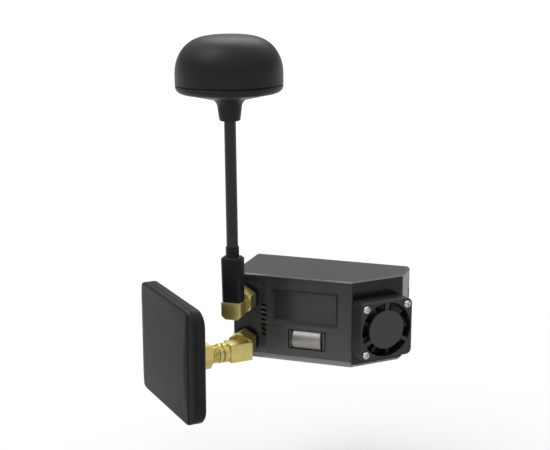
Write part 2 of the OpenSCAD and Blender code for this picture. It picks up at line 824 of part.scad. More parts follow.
module logic_chips() color(black) in_case() for (i = [0, 1])
    translate([case_w / 2 + chip_at[i] - chip_w[i] / 2, main_d - chip_t[i], chip_z[i] - chip_w[i] / 2])
        cube([chip_w[i], chip_t[i], chip_w[i]]);

module ribbon_sockets() color(ptfe) in_case() for (d = [front_board_d + board_t, main_d - ribbon_socket_t])
    translate([ribbon_x - ribbon_w / 2 - ribbon_side, d, ribbon_z - ribbon_socket_h / 2])
        cube([ribbon_w + 2 * ribbon_side, ribbon_socket_t, ribbon_socket_h]);

module ribbon() color(ptfe) in_case() {
    start = front_board_d + board_t + ribbon_socket_t;
    translate([ribbon_x - ribbon_w / 2, start, ribbon_z - ribbon_t / 2])
        cube([ribbon_w, main_d - ribbon_socket_t - start, ribbon_t]);
}

// Omni antenna

module omni_elbow() color(gold) difference() {
    union() {
        at_jack(jack_z) plug_solid(neck_l);
        at_omni() translate([0, block_depth / 2, 0]) rotate([90, 0, 0]) linear_extrude(block_depth) polygon([
            [-block_w / 2 + block_cut, -block_below], [block_w / 2 - block_cut, -block_below],
            [block_w / 2, -block_below + block_cut], [block_w / 2, block_above],
            [-block_w / 2, block_above], [-block_w / 2, -block_below + block_cut]
        ]);
    }
    omni_bore(plug_bore, neck_l + ferrule_l + 1, block_above + 1);
}

// Bent passage of the antenna's line: out towards the jack and up the stem
module omni_bore(d, out, up) at_omni() {
    rearward() cylinder(d = d, h = block_depth / 2 + out);
    cylinder(d = d, h = up);
    sphere(d = d);
}

module omni_insulator() color(ptfe) difference() {
    omni_bore(plug_bore, neck_l + ferrule_l, stem_top - eps);
    omni_bore(pin_d, neck_l + ferrule_l + 1, stem_top + 1);
}

module omni_pin() color(gold) omni_bore(pin_d, neck_l + pin_reach, stem_top);

module omni_nut() color(gold) at_jack(jack_z) coupling_nut();

// Plate with cut corners
module cut_plate(w, d, cut) linear_extrude(eps) polygon([
    [-w / 2 + cut, -d / 2], [w / 2 - cut, -d / 2], [w / 2, -d / 2 + cut], [w / 2, d / 2 - cut],
    [w / 2 - cut, d / 2], [-w / 2 + cut, d / 2], [-w / 2, d / 2 - cut], [-w / 2, -d / 2 + cut]
]);

module omni_boot() color(black) at_omni() translate([0, 0, block_above]) difference() {
    union() {
        hull() {
            cut_plate(boot_w - boot_flare, boot_depth - boot_flare, boot_cut);
            translate([0, 0, boot_h - eps]) cut_plate(boot_w, boot_depth, boot_cut);
            translate([0, 0, boot_h + boot_cap - eps])
                cut_plate(boot_w - 2 * boot_cut, boot_depth - boot_cut / 2, boot_cut);
        }
        cylinder(d = stem_d + 2 * collar_wall, h = boot_h + boot_cap + collar_l);
    }
    translate([0, 0, -1]) cylinder(d = stem_d, h = boot_h + boot_cap + collar_l + 2);
}

module omni_stem() color(black) at_omni() translate([0, 0, block_above]) difference() {
    cylinder(d = stem_d, h = stem_top - block_above);
    translate([0, 0, -1]) cylinder(d = stem_bore, h = stem_top + 2);
}

module omni_base() color(black) at_omni() translate([0, 0, neck_z]) rotate_extrude($fn = 96) polygon(concat(
    [[stem_d / 2, 0], [base_neck_r, 0]],
    [for (a = [0 : 15 : 90]) [base_neck_top + base_flare * (1 - cos(a)), base_neck_h + base_flare * sin(a)]],
    [for (a = [0 : 15 : 90]) [dome_d / 2 - lip_r * (1 - sin(a)), base_h - lip_h * cos(a)]],
    [
        [dome_d / 2 - dome_wall - fit, base_h], [dome_d / 2 - dome_wall - fit, base_h + spigot_h],
        [dome_d / 2 - 2 * dome_wall - fit, base_h + spigot_h], [dome_d / 2 - 2 * dome_wall - fit, base_floor],
        [stem_d / 2, base_floor]
    ]
));

// Profile of the radome's upper half: an upright wall that bends over to a flat crown
function dome_profile(r, h) = let (rise = 3.4, power = 0.8) concat(
    [[0, 0], [r, 0]],
    [for (a = [0 : 5 : 90]) [r * pow(cos(a), power), rise + (h - rise) * pow(sin(a), power)]]
);

module omni_dome() color(black) at_omni() translate([0, 0, seam_z]) difference() {
    rotate_extrude($fn = 96) polygon(dome_profile(dome_d / 2, dome_h));
    translate([0, 0, -eps]) rotate_extrude($fn = 96)
        polygon(dome_profile(dome_d / 2 - dome_wall, dome_h - dome_wall));
}

module omni_lobes() color(copper) at_omni() translate([0, 0, seam_z + lobe_z]) {
    translate([0, 0, -lobe_hub_h / 2]) cylinder(d = lobe_hub_d, h = lobe_hub_h);
    for (turn = [0 : 120 : 240]) rotate([0, 0, turn]) rotate([lobe_tilt, 0, 0]) {
        rotate([0, 0, -lobe_arc / 2]) rotate_extrude(angle = lobe_arc)
            translate([lobe_r, 0]) circle(d = lobe_wire);
        for (a = [-lobe_arc / 2, lobe_arc / 2]) rotate([0, 0, a]) {
            rotate([0, 90, 0]) cylinder(d = lobe_wire, h = lobe_r);
            translate([lobe_r, 0, 0]) sphere(d = lobe_wire);
        }
    }
}

// Angle adapter

module along_outlet() rotate([0, 90, 0]) children();

module adapter_bar() intersection() {
    at_bend() translate([-bar_back, 0, 0]) along_outlet() linear_extrude(bar_back + bar_front) {
        square([bar, bar - 2 * bar_cut], center = true);
        square([bar - 2 * bar_cut, bar], center = true);
        rotate(45) square((bar - bar_cut) * sqrt(2), center = true);
    }
    in_case() translate([jack_x - bar * 2, mouth_d - neck_l - 4 * bar, low_z - bar])
        cube([4 * bar, 4 * bar, 2 * bar]);
}

module outlet_barrel() at_bend() along_outlet() {
    cylinder(d = groove_d, h = thread_s);
    for (i = [0, 1]) translate([0, 0, bead_s[i] - eps]) cylinder(d = bead_d, h = bead_t[i] + eps);
    translate([0, 0, thread_s - eps]) cylinder(d = thread_d, h = outlet_l - thread_s + eps);
}

module adapter_body() color(gold) difference() {
    union() {
        at_jack(low_z) plug_solid(neck_l);
        adapter_bar();
        outlet_barrel();
    }
    adapter_bore(plug_bore, dielectric_d, ferrule_l + 1, 1);
    at_outlet() translate([0, 0, -1]) cylinder(d = mouth_bore, h = mouth_depth + 1);
}

// Bent passage of the adapter's line: in towards the jack and out along the outlet
module adapter_bore(d_in, d_out, past_jack, past_mouth) {
    at_jack(low_z) translate([0, 0, -neck_l - bend_in]) cylinder(d = d_in, h = neck_l + bend_in + past_jack);
    at_bend() along_outlet() cylinder(d = d_out, h = outlet_l + past_mouth);
    at_bend() sphere(d = d_in);
}

module adapter_insulator() color(ptfe) difference() {
    adapter_bore(plug_bore, dielectric_d, ferrule_l, -mouth_depth);
    adapter_bore(pin_d, contact_d, ferrule_l + 1, 1);
}

module adapter_contact() color(gold) difference() {
    adapter_bore(pin_d, contact_d, pin_reach, -mouth_depth);
    at_outlet() translate([0, 0, mouth_depth - 1]) cylinder(d = pin_d + 2 * run, h = socket_depth + 1);
}

module adapter_nut() color(gold) at_jack(low_z) coupling_nut();

// Patch antenna

// Round-cornered plate of the back shell, with a bevel round its rear
module patch_back_plate() hull()
    for (y = [-1, 1], z = [-1, 1])
        translate([patch_back_s, y * (patch_w / 2 - patch_r), patch_rise + z * (patch_h / 2 - patch_r)])
            along_outlet() {
                cylinder(r = patch_r - patch_back_bevel, h = patch_back_bevel, $fn = 32);
                translate([0, 0, patch_back_bevel])
                    cylinder(r = patch_r, h = patch_back_t - patch_back_bevel, $fn = 32);
            }

// Straight hollow between two places along the outlet
module patch_hollow(from, to, inset) {
    w = patch_w - 2 * inset;
    h = patch_h - 2 * inset;
    translate([from, -w / 2, patch_rise - h / 2]) cube([to - from, w, h]);
}

// Outline of the patch antenna, seen along the outlet
module patch_outline() {
    square([patch_h, patch_w - 2 * patch_r], center = true);
    square([patch_h - 2 * patch_r, patch_w], center = true);
    for (x = [-1, 1], y = [-1, 1])
        translate([x * (patch_h / 2 - patch_r), y * (patch_w / 2 - patch_r)]) circle(patch_r);
}

// Drum whose side is the bowed front, or lies below it
module patch_drum(below) translate([patch_front_s - bow_r, patch_w / 2, patch_rise]) rotate([90, 0, 0])
    cylinder(r = bow_r - below, h = patch_w, $fn = 720);

// Wedge whose sides slope in to the front
module patch_wedge() translate([0, 0, patch_rise - patch_h]) linear_extrude(2 * patch_h) polygon([
    [patch_split_s - 1, -patch_w / 2 - 1], [patch_split_s - 1, patch_w / 2 + 1],
    [patch_front_s - patch_slope_t - slope_rise, patch_w / 2 + 1],
    [patch_front_s + slope_rise, patch_w / 2 - patch_slope_w - 1],
    [patch_front_s + slope_rise, -patch_w / 2 + patch_slope_w + 1],
    [patch_front_s - patch_slope_t - slope_rise, -patch_w / 2 - 1]
]);

module patch_front() color(black) at_bend() difference() {
    intersection() {
        translate([patch_split_s, 0, patch_rise]) along_outlet() linear_extrude(patch_t) patch_outline();
        patch_wedge();
        patch_drum(0);
    }
    intersection() {
        patch_hollow(patch_split_s - 1, patch_front_s, patch_wall);
        patch_drum(patch_skin);
    }
}

module patch_back() color(black) at_bend() difference() {
    union() {
        patch_back_plate();
        translate([patch_back_s - patch_boss_l, 0, 0]) along_outlet()
            cylinder(d1 = patch_boss_d[0], d2 = patch_boss_d[1], h = patch_boss_l + eps);
    }
    patch_hollow(ground_s, patch_split_s + 1, patch_wall);
    translate([patch_back_s - patch_boss_l - 1, 0, 0]) along_outlet()
        cylinder(d = neck_d, h = patch_boss_l + patch_t);
}

module patch_ground() color(laminate) at_bend() difference() {
    patch_hollow(ground_s, ground_s + ground_t, patch_wall + ground_gap);
    translate([ground_s - 1, 0, 0]) along_outlet() cylinder(d = pin_d + 2 * fit, h = ground_t + 2);
}

module patch_plate() color(copper) at_bend()
    translate([element_s, -element_w / 2, patch_rise - element_w / 2]) cube([element_t, element_w, element_w]);

module patch_spacers() color(ptfe) at_bend() for (y = [-1, 1], z = [-1, 1])
    translate([ground_s + ground_t, y * spacer_at, patch_rise + z * spacer_at]) along_outlet()
        cylinder(d = spacer_d, h = element_s - ground_s - ground_t);

module patch_plug() color(gold) at_outlet() difference() {
    plug_solid(plug_back - eps);
    translate([0, 0, -plug_back - 1]) cylinder(d = plug_bore, h = plug_back + ferrule_l + 2);
}

module patch_insulator() color(ptfe) at_outlet() difference() {
    translate([0, 0, -plug_back]) cylinder(d = plug_bore, h = plug_back + ferrule_l);
    translate([0, 0, -plug_back - 1]) cylinder(d = pin_d, h = plug_back + ferrule_l + 2);
}

module patch_pin() color(gold) at_outlet() {
    back = element_s - outlet_l;
    translate([0, 0, -back]) cylinder(d = pin_d, h = back + pin_reach);
}

module patch_nut() color(gold) at_outlet() coupling_nut();

front_housing();
rear_cover();
front_board();
display_panel();
front_board_screws();
roller();
roller_axle();
roller_yoke();
roller_base();
roller_switch();
switch_plunger();
fan_frame();
fan_bearing();
fan_stator();
fan_rotor();
fan_magnet();
fan_shaft();
fan_screws();
upper_jack();
lower_jack();
jack_insulators();
jack_contacts();
jack_washers();
jack_nuts();
rf_board();
receiver_cans();
main_board();
main_board_screws();
pin_sockets();
logic_chips();
ribbon();
ribbon_sockets();
omni_elbow();
omni_insulator();
omni_pin();
omni_nut();
omni_boot();
omni_stem();
omni_base();
omni_dome();
omni_lobes();
adapter_body();
adapter_insulator();
adapter_contact();
adapter_nut();
patch_front();
patch_back();
patch_ground();
patch_plate();
patch_spacers();
patch_plug();
patch_insulator();
patch_pin();
patch_nut();
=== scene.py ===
# %% [markdown]
# # Dressing a plug-in video receiver
# The real object is a small module that slides into the side of a pair of video goggles: a smoked case with
# a display, a press roller and a fan, and two antennas on gold-plated coaxial jacks. Its construction comes in
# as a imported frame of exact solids. This lesson gives each solid its finish and remodels the pieces whose soft
# moulded edges, domes and threads the solids leave plain.

# %% Load the frame
import math

import bmesh
import bpy
from mathutils import Matrix, Vector


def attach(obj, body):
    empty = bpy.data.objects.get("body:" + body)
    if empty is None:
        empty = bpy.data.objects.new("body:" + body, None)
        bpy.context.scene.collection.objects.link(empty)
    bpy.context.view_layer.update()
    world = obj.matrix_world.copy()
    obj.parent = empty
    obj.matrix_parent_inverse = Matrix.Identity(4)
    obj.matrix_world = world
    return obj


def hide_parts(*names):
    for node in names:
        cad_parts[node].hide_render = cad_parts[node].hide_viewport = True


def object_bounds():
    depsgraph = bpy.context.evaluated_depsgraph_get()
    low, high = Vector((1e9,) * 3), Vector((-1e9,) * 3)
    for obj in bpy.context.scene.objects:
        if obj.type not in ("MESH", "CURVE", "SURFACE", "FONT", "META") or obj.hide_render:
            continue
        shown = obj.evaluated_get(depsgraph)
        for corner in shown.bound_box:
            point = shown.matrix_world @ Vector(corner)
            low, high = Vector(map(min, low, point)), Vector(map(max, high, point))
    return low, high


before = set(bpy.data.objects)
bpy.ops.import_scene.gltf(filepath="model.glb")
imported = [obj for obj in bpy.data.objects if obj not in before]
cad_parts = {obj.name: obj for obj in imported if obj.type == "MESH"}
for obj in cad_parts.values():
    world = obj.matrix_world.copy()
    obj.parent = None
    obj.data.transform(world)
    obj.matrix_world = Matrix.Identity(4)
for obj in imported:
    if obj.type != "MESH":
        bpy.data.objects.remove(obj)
scene = bpy.context.scene
cad_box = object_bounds()

# %% [markdown]
# ## Places
# Meshes are drawn in millimetres, each in the frame of the piece that carries it, and a matrix then puts them
# in the part's own frame in metres. The frames follow the axes that the pieces really turn on: the two jacks
# look along Y, the antenna's stem stands on the upper jack's plug, and the lower plug bends 45 degrees.

# %% The frames that pieces are drawn in
MM = 0.001
JACK_X = -23.55
UPPER_JACK_Z = 6.6
LOWER_JACK_Z = -9.0
JACK_MOUTH_Y = -31.3
STEM_Y = -39.1
STEM_LEAN = -0.65
BEND_Y = -38.9
FAN_FACE = (21.579, -19.329, -0.9)
FAN_T = 6.2


def place(x, y, z):
    return Matrix.Translation((x, y, z))


def turn(degrees, axis):
    return Matrix.Rotation(math.radians(degrees), 4, axis)


# Stem: +Z up the antenna. Outlet: +Z along the 45 degree outlet, -X up. Fan: +Z out of the face, +Y up.
# Jacks: +Z into the case, from the mouth.
STEM = place(JACK_X, STEM_Y, UPPER_JACK_Z) @ turn(STEM_LEAN, "Y")
OUTLET = place(JACK_X, BEND_Y, LOWER_JACK_Z) @ turn(225, "Z") @ turn(90, "Y")
FAN = place(*FAN_FACE) @ turn(45, "Z") @ turn(90, "X")
UPPER_JACK = place(JACK_X, JACK_MOUTH_Y, UPPER_JACK_Z) @ turn(-90, "X")
LOWER_JACK = place(JACK_X, JACK_MOUTH_Y, LOWER_JACK_Z) @ turn(-90, "X")
for title, matrix in {"stem": STEM, "outlet": OUTLET, "fan": FAN}.items():
    print(title, "frame points along", [round(c, 2) for c in matrix.to_3x3() @ Vector((0, 0, 1))])

# %% [markdown]
# ## The camera
# The photograph looks down on the module from the front right with a fairly long lens. The camera's place was
# found by fitting points of the case, so it is given as a point, a target and a lens, with no shift.

# %% Camera
CAMERA_AT = Vector((114.75, -407.78, 129.76)) * MM
CAMERA_TO = Vector((-13.01, -26.4, 33.2)) * MM
SENSOR_W = 36
FOCAL_LENGTH = 79.55
NEAREST = 10 * MM

lens = bpy.data.cameras.new("camera")
lens.sensor_fit = "HORIZONTAL"
lens.sensor_width = SENSOR_W
lens.lens = FOCAL_LENGTH
lens.clip_start = NEAREST
camera = bpy.data.objects.new("camera", lens)
camera.location = CAMERA_AT
camera.rotation_euler = (CAMERA_TO - CAMERA_AT).to_track_quat("-Z", "Y").to_euler()
scene.collection.objects.link(camera)
scene.camera = camera
print("camera is", round((CAMERA_TO - CAMERA_AT).length, 3), "m from its target")

# %% [markdown]
# ## Building blocks for finishes
# A finish is a small graph of nodes round one Principled shader. What is the same all over a surface goes on
# the shader's own socket. What varies comes from patterns and places measured in millimetres on the object
# itself, so that grain keeps its size on every piece. Colours are written as they look on a screen and turned
# to linear light.

# %% Colour, node and material helpers
# A mix node has sockets of the same name for each kind of value, so its colour sockets go by number.
MIX_FACTOR, MIX_A, MIX_B, MIX_RESULT = 0, 6, 7, 2


def colour(hex_code):
    """A screen colour in linear light, opaque."""
    parts = [int(hex_code[i:i + 2], 16) / 255 for i in (1, 3, 5)]
    return [c / 12.92 if c <= 0.04045 else ((c + 0.055) / 1.055) ** 2.4 for c in parts] + [1.0]


def per_mm(width):
    """Texture scale at which one cell of a pattern is this many millimetres wide."""
    return 1 / (width * MM)


def add(tree, kind, inputs=None, stops=None, **settings):
    """Adds a node, with its settings, its input values or links, and a colour ramp's stops."""
    made = tree.nodes.new("ShaderNode" + kind)
    for key, value in settings.items():
        setattr(made, key, value)
    for key, value in (inputs or {}).items():
        if isinstance(value, bpy.types.NodeSocket):
            tree.links.new(value, made.inputs[key])
        else:
            made.inputs[key].default_value = value
    for count, (at, shade) in enumerate(stops or ()):
        elements = made.color_ramp.elements
        element = elements[count] if count < 2 else elements.new(at)
        element.position = at
        element.color = colour(shade)
    return made


def new_finish(name, sockets):
    """A material with constant sockets set, its node tree, its shader and the object's own coordinates."""
    material = bpy.data.materials.new(name)
    material.use_nodes = True
    tree = material.node_tree
    shader = tree.nodes["Principled BSDF"]
    for socket, value in sockets.items():
        shader.inputs[socket].default_value = value
    return material, tree, shader, add(tree, "TexCoord").outputs["Object"]


def grain(tree, shader, where, width, height, rough):
    """Fine grain, this wide and high in millimetres, and a roughness between two values that varies with it."""
    noise = add(tree, "TexNoise", {"Vector": where, "Scale": per_mm(width), "Detail": 2.0})
    bump = add(tree, "Bump", {"Height": noise.outputs["Fac"], "Strength": 1.0, "Distance": height * MM})
    spread = add(tree, "MapRange", {"Value": noise.outputs["Fac"], "To Min": rough[0], "To Max": rough[1]})
    tree.links.new(bump.outputs["Normal"], shader.inputs["Normal"])
    tree.links.new(spread.outputs["Result"], shader.inputs["Roughness"])
    return bump


def soft_edges(tree, bump, radius):
    """Lets light catch the edges of a solid as if they were rounded to this radius in millimetres."""
    bevel = add(tree, "Bevel", {"Radius": radius * MM}, samples=8)
    tree.links.new(bevel.outputs["Normal"], bump.inputs["Normal"])


def mottle(tree, shader, where, width, dark, light):
    """Slow change of colour between two shades, in patches this many millimetres wide."""
    noise = add(tree, "TexNoise", {"Vector": where, "Scale": per_mm(width), "Detail": 3.0})
    ramp = add(tree, "ValToRGB", {"Fac": noise.outputs["Fac"]}, stops=[(0.3, dark), (0.7, light)])
    tree.links.new(ramp.outputs["Color"], shader.inputs["Base Color"])


print("one millimetre of pattern is a texture scale of", per_mm(1))

# %% [markdown]
# ## Plastics
# The case is smoked polycarbonate with a soft gloss, dark and partly clear. Its colour carries painted light: a
# painted highlight along its upper rim, painted light on the foot of its front, a front painted darker upwards,
# and painted shade on the corner round the fan and the side beyond it. The antennas are satin black ABS, whose
# mould was spark-eroded to a fine even grain. The fan is glass-filled PBT, greyer and rougher. All three are
# dark, so most of what the eye reads is their gloss.

# %% Plastics
CASE_FRONT_Y = -26.4
CASE_HALF_H = 15.4
CASE_SIDE_X = 28.65
CORNER_OUT = 28.92
# Where a colour starts and stops changing: painted shade on the corner, as a share of the way out to it, then
# painted light on the foot and the fan's paler disc, as distances.
CORNER_SHADE_BAND = (0.991, 0.999)
FOOT_LIGHT_BAND = (2.1, 2.3)
HUB_EDGE = (6.5, 6.8)


def smoked_polycarbonate():
    # The colour carries painted light: a painted highlight along the upper rim, painted light on the foot of the
    # front, and a front painted darker upwards. The flow of the melt runs along the case and varies its gloss.
    material, tree, shader, where = new_finish("smoked_polycarbonate", {
        "IOR": 1.585, "Transmission Weight": 0.3, "Specular IOR Level": 0.1})
    height = add(tree, "SeparateXYZ", {"Vector": where}).outputs["Z"]
    level = add(tree, "MapRange", {"Value": height, "From Min": -CASE_HALF_H * MM,
                                   "From Max": CASE_HALF_H * MM})
    # Painted shading by height: the front is painted paler low down and darker upwards, a painted highlight runs
    # along the upper rim, and the top is a little paler.
    shades = add(tree, "ValToRGB", {"Fac": level.outputs["Result"]}, stops=[
        (0.0, "#565658"), (0.982, "#363638"), (0.984, "#7e7e80"), (0.9985, "#7e7e80"), (1.0, "#404042")])

    # Painted light on the foot: its mask is the distance from the front's lower edge, which runs along X.
    section = add(tree, "VectorMath", {0: where, 1: (0, 1, 1)}, operation="MULTIPLY").outputs["Vector"]
    edge = Vector((0, CASE_FRONT_Y, -CASE_HALF_H)) * MM
    to_edge = add(tree, "VectorMath", {0: section, 1: edge}, operation="DISTANCE").outputs["Value"]
    foot = add(tree, "MapRange", {"Value": to_edge, "From Min": FOOT_LIGHT_BAND[0] * MM,
                                  "From Max": FOOT_LIGHT_BAND[1] * MM, "To Min": 1.0, "To Max": 0.0})
    # Mixes the painted light of the foot over the painted shading.
    pale = add(tree, "Mix", {MIX_FACTOR: foot.outputs["Result"], MIX_A: shades.outputs["Color"],
                             MIX_B: colour("#8e8e90")}, data_type="RGBA")

    # Painted shade on the corner: reach is 1 on the cut corner's face, whose normal is the fan's axis, and on
    # the side beyond it, and less everywhere else.
    fan_axis = FAN.to_3x3() @ Vector((0, 0, 1)) / (CORNER_OUT * MM)
    corner = add(tree, "VectorMath", {0: where, 1: fan_axis}, operation="DOT_PRODUCT").outputs["Value"]
    side = add(tree, "VectorMath", {0: where, 1: (1 / (CASE_SIDE_X * MM), 0, 0)}, operation="DOT_PRODUCT")
    reach = add(tree, "Math", {0: corner, 1: side.outputs["Value"]}, operation="MAXIMUM").outputs[0]
    # dark is the share of painted shade, full on the corner's face and on the side beyond it.
    dark = add(tree, "MapRange", {"Value": reach, "From Min": CORNER_SHADE_BAND[0], "From Max": CORNER_SHADE_BAND[1]})
    with_painted_corner_shade = add(tree, "Mix", {MIX_FACTOR: dark.outputs["Result"], MIX_A: pale.outputs[MIX_RESULT],
                             MIX_B: colour("#101011")}, data_type="RGBA")
    tree.links.new(with_painted_corner_shade.outputs[MIX_RESULT], shader.inputs["Base Color"])

    flow = add(tree, "Mapping", {"Vector": where, "Scale": (0.25, 1.0, 1.0)})
    bump = grain(tree, shader, flow.outputs["Vector"], width=2.0, height=0.001, rough=(0.15, 0.23))
    soft_edges(tree, bump, radius=0.12)
    return material


def satin_moulding(name, dark, light, rough, gloss):
    # From a spark-eroded mould: the real grain is about 0.05 mm, drawn here at 0.18 mm so that it shows.
    material, tree, shader, where = new_finish(name, {"IOR": 1.53, "Specular IOR Level": gloss})
    mottle(tree, shader, where, width=6.0, dark=dark, light=light)
    grain(tree, shader, where, width=0.18, height=0.012, rough=rough)
    return material


def polyolefin_sleeve():
    # Drawn tube: softly shiny, with faint lines along its length.
    material, tree, shader, where = new_finish("polyolefin_sleeve", {"IOR": 1.5, "Specular IOR Level": 0.3})
    drawn = add(tree, "Mapping", {"Vector": where, "Scale": (1.0, 1.0, 0.04)})
    mottle(tree, shader, drawn.outputs["Vector"], width=0.6, dark="#181818", light="#1f1f20")
    grain(tree, shader, drawn.outputs["Vector"], width=0.3, height=0.01, rough=(0.35, 0.5))
    return material


def glass_filled_pbt():
    # Short glass fibres near the surface give a dry grey-black. The disc over the motor is paler, so the colour
    # is mixed by the distance from the disc's centre.
    material, tree, shader, where = new_finish("glass_filled_pbt", {"IOR": 1.57, "Specular IOR Level": 0.35})
    hub = FAN @ Vector((0, 0, FAN_T)) * MM
    distance = add(tree, "VectorMath", {0: where, 1: hub}, operation="DISTANCE").outputs["Value"]
    past_edge = add(tree, "MapRange", {"Value": distance, "From Min": HUB_EDGE[0] * MM,
                                       "From Max": HUB_EDGE[1] * MM})
    ramp = add(tree, "ValToRGB", {"Fac": past_edge.outputs["Result"]},
               stops=[(0.0, "#2b2b2c"), (1.0, "#18181a")])
    tree.links.new(ramp.outputs["Color"], shader.inputs["Base Color"])
    bump = grain(tree, shader, where, width=0.25, height=0.02, rough=(0.38, 0.55))
    soft_edges(tree, bump, radius=0.25)
    return material


def black_nylon():
    # Small moulded parts in and behind the case wall: matt and evenly dark.
    material, tree, shader, where = new_finish("black_nylon", {"IOR": 1.53, "Specular IOR Level": 0.3})
    mottle(tree, shader, where, width=1.5, dark="#111112", light="#19191a")
    grain(tree, shader, where, width=0.3, height=0.015, rough=(0.5, 0.65))
    return material


def ptfe():
    # Mostly turned from rod: waxy white, with some light below its surface and an uneven roughness.
    material, tree, shader, where = new_finish("ptfe", {"IOR": 1.35, "Subsurface Weight": 0.05})
    mottle(tree, shader, where, width=0.8, dark="#e4e2da", light="#f2f1ec")
    grain(tree, shader, where, width=0.2, height=0.01, rough=(0.4, 0.55))
    return material


case_finish = smoked_polycarbonate()
radome_finish = satin_moulding("satin_abs_radome", "#141415", "#181819", rough=(0.36, 0.5), gloss=0.18)
patch_finish = satin_moulding("satin_abs_patch", "#161617", "#1b1b1c", rough=(0.42, 0.52), gloss=0.12)
boot_finish = satin_moulding("moulded_boot_vinyl", "#131314", "#171718", rough=(0.4, 0.55), gloss=0.12)
sleeve_finish = polyolefin_sleeve()
fan_finish = glass_filled_pbt()
nylon_finish = black_nylon()
ptfe_finish = ptfe()

# %% [markdown]
# ## Metals
# The coaxial parts are brass, turned or milled and then gold-plated, so they keep fine tool marks under a warm
# satin plate. The roller is turned aluminium with a clear anodised coat, greyer and softer. The screws are
# nickel on steel. A metal's colour is its reflection, so these need surroundings more than they need paint.

# %% Metals


def plated_metal(name, dark, light, rough, mark=0.25):
    # Tool marks are under 0.1 mm on the real thing, drawn wider here so that they show.
    material, tree, shader, where = new_finish(name, {"Metallic": 1.0})
    mottle(tree, shader, where, width=1.4, dark=dark, light=light)
    grain(tree, shader, where, width=mark, height=0.006, rough=rough)
    return material


def anodised_aluminium():
    # Turned rings run round the roller, so the pattern is fine along its axis and long across it.
    material, tree, shader, where = new_finish("anodised_aluminium", {"Metallic": 1.0})
    rings = add(tree, "Mapping", {"Vector": where, "Scale": (1.0, 0.03, 0.03)})
    mottle(tree, shader, rings.outputs["Vector"], width=0.5, dark="#93918d", light="#9b9995")
    grain(tree, shader, rings.outputs["Vector"], width=0.3, height=0.002, rough=(0.4, 0.5))
    return material


gold_finish = plated_metal("gold_plated_brass", "#c0b16e", "#cdbe7c", rough=(0.4, 0.48))
nickel_finish = plated_metal("nickel_plated_steel", "#b9b9b6", "#cfcfcc", rough=(0.2, 0.35))
tin_finish = plated_metal("tinned_steel", "#8f9192", "#a5a7a8", rough=(0.3, 0.45), mark=0.5)
copper_finish = plated_metal("bare_copper", "#a8663e", "#bd7a50", rough=(0.3, 0.45))
# A dark brass colour for the jack nuts.
dark_brass_finish = plated_metal("dark_brass", "#2c2a25", "#38352f", rough=(0.4, 0.5))
bronze_finish = plated_metal("sintered_bronze", "#7d6038", "#8d7046", rough=(0.45, 0.6))
roller_finish = anodised_aluminium()
print("metals made, gold in linear light", [round(c, 2) for c in colour("#cdbe7c")[:3]])

# %% [markdown]
# ## Glass, boards and the rest
# The display is a dark panel under thin glass. The circuit boards wear dark solder mask over glass laminate,
# with copper tracks that raise the mask a little. The flat cable is white film over parallel conductors, and
# the fan's ring magnet is dull ferrite.

# %% Glass, boards and the rest


def display_glass():
    # Glass over an unlit panel: nearly black, with a softened reflection under a thin clear one.
    material, tree, shader, where = new_finish("display_glass", {
        "IOR": 1.52, "Specular IOR Level": 0.33, "Coat Weight": 0.05, "Coat Roughness": 0.04})
    mottle(tree, shader, where, width=9.0, dark="#2b2b2c", light="#303031")
    grain(tree, shader, where, width=4.0, height=0.002, rough=(0.12, 0.2))
    return material


def masked_laminate():
    # Tracks under the mask: a coarse brick pattern of straight runs, 0.8 mm apart. A brick texture has four
    # rows to the unit.
    material, tree, shader, where = new_finish("masked_laminate", {"IOR": 1.5, "Roughness": 0.35})
    flat = add(tree, "Mapping", {"Vector": where, "Rotation": (math.radians(90), 0, 0)})
    tracks = add(tree, "TexBrick", {"Vector": flat.outputs["Vector"], "Scale": per_mm(0.8) / 4,
                                    "Color1": colour("#10150f"), "Color2": colour("#161c15"),
                                    "Mortar": colour("#2a3027"), "Mortar Size": 0.03})
    bump = add(tree, "Bump", {"Height": tracks.outputs["Fac"], "Strength": 0.5, "Distance": 0.03 * MM})
    tree.links.new(tracks.outputs["Color"], shader.inputs["Base Color"])
    tree.links.new(bump.outputs["Normal"], shader.inputs["Normal"])
    return material


def flat_cable_film():
    # Polyester film over conductors 0.5 mm apart, which show as grey lines. A wave texture runs through 20
    # radians to the unit.
    material, tree, shader, where = new_finish("flat_cable_film", {"IOR": 1.55, "Roughness": 0.3})
    lines = add(tree, "TexWave", {"Vector": where, "Scale": per_mm(0.5) * math.tau / 20},
                bands_direction="X")
    ramp = add(tree, "ValToRGB", {"Fac": lines.outputs["Fac"]}, stops=[(0.3, "#a9abad"), (0.6, "#dcdcd8")])
    tree.links.new(ramp.outputs["Color"], shader.inputs["Base Color"])
    return material


def ferrite():
    # Pressed powder, dull and dark grey.
    material, tree, shader, where = new_finish("ferrite", {"IOR": 1.6, "Specular IOR Level": 0.3})
    mottle(tree, shader, where, width=0.7, dark="#232425", light="#303132")
    grain(tree, shader, where, width=0.2, height=0.02, rough=(0.6, 0.75))
    return material


glass_finish = display_glass()
board_finish = masked_laminate()
cable_finish = flat_cable_film()
ferrite_finish = ferrite()
print("materials in all:", len(bpy.data.materials))

# %% [markdown]
# ## Building blocks for pieces
# Most of the remodelled pieces are turned or moulded. A turned one is half an outline spun round an axis. A
# moulded one is a block whose edges are then rounded, as a mould's edges are. Both end the same way: doubles
# merged, normals made to point out, put in place, and told which body they ride on.

# %% Piece helpers
MERGE_BELOW = 0.002
SMOOTH_BELOW = 40


def lathe(bm, outline, steps, closed=True):
    """Spins an outline of (radius, height) points round Z."""
    verts = [bm.verts.new((radius, 0, height)) for radius, height in outline]
    ends = verts[1:] + verts[:1] if closed else verts[1:]
    edges = [bm.edges.new(pair) for pair in zip(verts, ends)]
    bmesh.ops.spin(bm, geom=verts + edges, axis=(0, 0, 1), cent=(0, 0, 0),
                   angle=2 * math.pi, steps=steps, use_merge=True)


